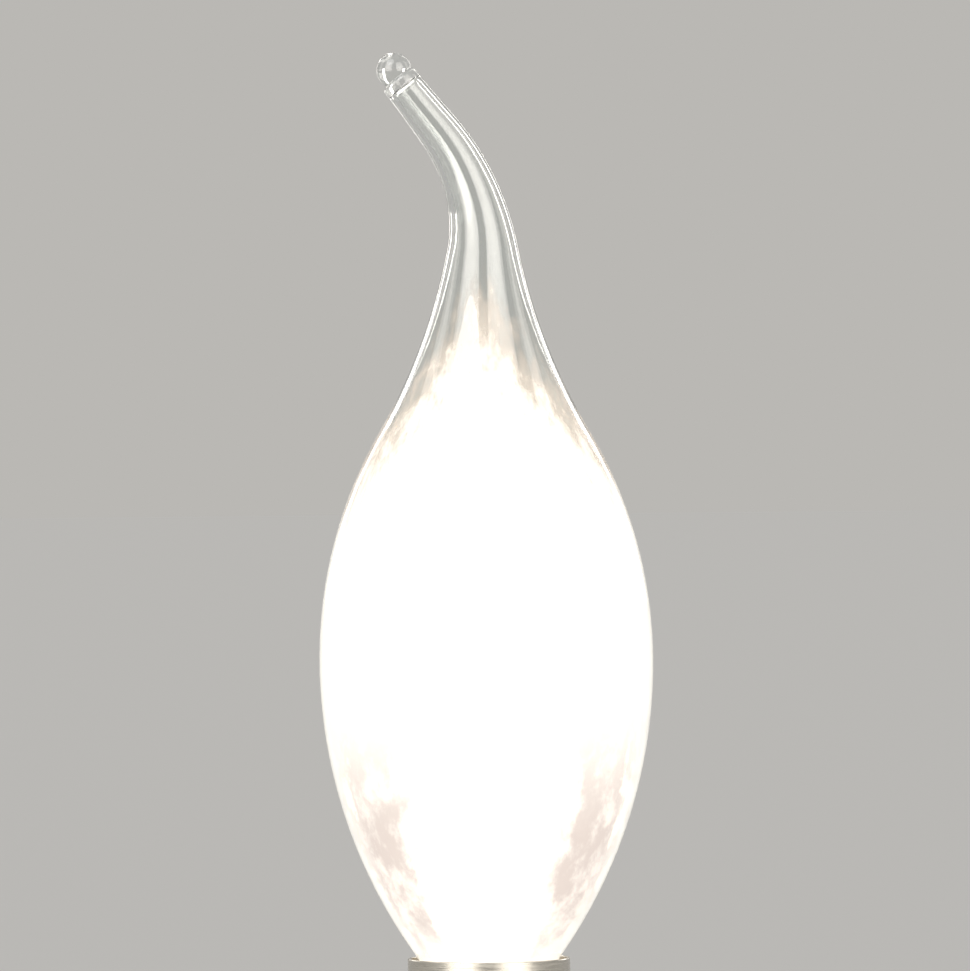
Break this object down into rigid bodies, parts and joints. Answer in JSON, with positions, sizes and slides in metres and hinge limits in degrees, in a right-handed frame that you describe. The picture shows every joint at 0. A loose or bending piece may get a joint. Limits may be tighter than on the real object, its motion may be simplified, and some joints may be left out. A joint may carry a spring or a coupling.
{
  "type": "bent-tip candle lamp",
  "caption": "Candle lamp: slender satin glass body, long clear tip bent to one side and ending in a bead, on a small screw cap.",
  "frame": {"origin": "lowest point of the centre contact, on the cap's axis", "axes": "+Z along the cap's axis from the contact to the glass; the tip bends towards -X"},
  "size_m": [0.035, 0.035, 0.1199],
  "materials": {
    "envelope_glass": "satin inside, clear tip",
    "stem_glass": "clear",
    "lead_wire": "drawn nickel wire",
    "seal_wire": "copper-clad wire",
    "filament_strip": "rolled strip",
    "filament_coat": "silicone with phosphor, lit",
    "board": "white solder mask",
    "chip_package": "moulded",
    "capacitor_case": "shrunk sleeve",
    "resistor_coat": "lacquer",
    "copper_wire": "tinned copper",
    "sleeve": "silicone sleeve",
    "cement": "matt, baked",
    "cap_metal": "nickel plate, rolled",
    "insulator": "moulded",
    "contact_metal": "turned, plated",
    "solder": "solder"
  },
  "bodies": {
    "root": {"glass_envelope": "envelope_glass", "stem_flare": "stem_glass", "exhaust_tube": "stem_glass", "support_rod": "stem_glass", "seal_wire_left": "seal_wire", "seal_wire_right": "seal_wire", "inner_lead_left": "lead_wire", "inner_lead_right": "lead_wire", "lower_link_left": "lead_wire", "lower_link_right": "lead_wire", "upper_link_long": "lead_wire", "upper_link_cross": "lead_wire", "filament_strip_1": "filament_strip", "filament_strip_2": "filament_strip", "filament_strip_3": "filament_strip", "filament_strip_4": "filament_strip", "filament_coat_1": "filament_coat", "filament_coat_2": "filament_coat", "filament_coat_3": "filament_coat", "filament_coat_4": "filament_coat", "outer_lead_left": "copper_wire", "outer_lead_right": "copper_wire", "driver_board": "board", "bridge_rectifier": "chip_package", "driver_chip": "chip_package", "smoothing_capacitor": "capacitor_case", "fusible_resistor": "resistor_coat", "shell_lead": "copper_wire", "contact_lead": "copper_wire", "insulating_sleeve": "sleeve", "basing_cement": "cement", "cap_shell": "cap_metal", "cap_insulator": "insulator", "centre_contact": "contact_metal", "shell_solder": "solder"}
  },
  "joints": []
}
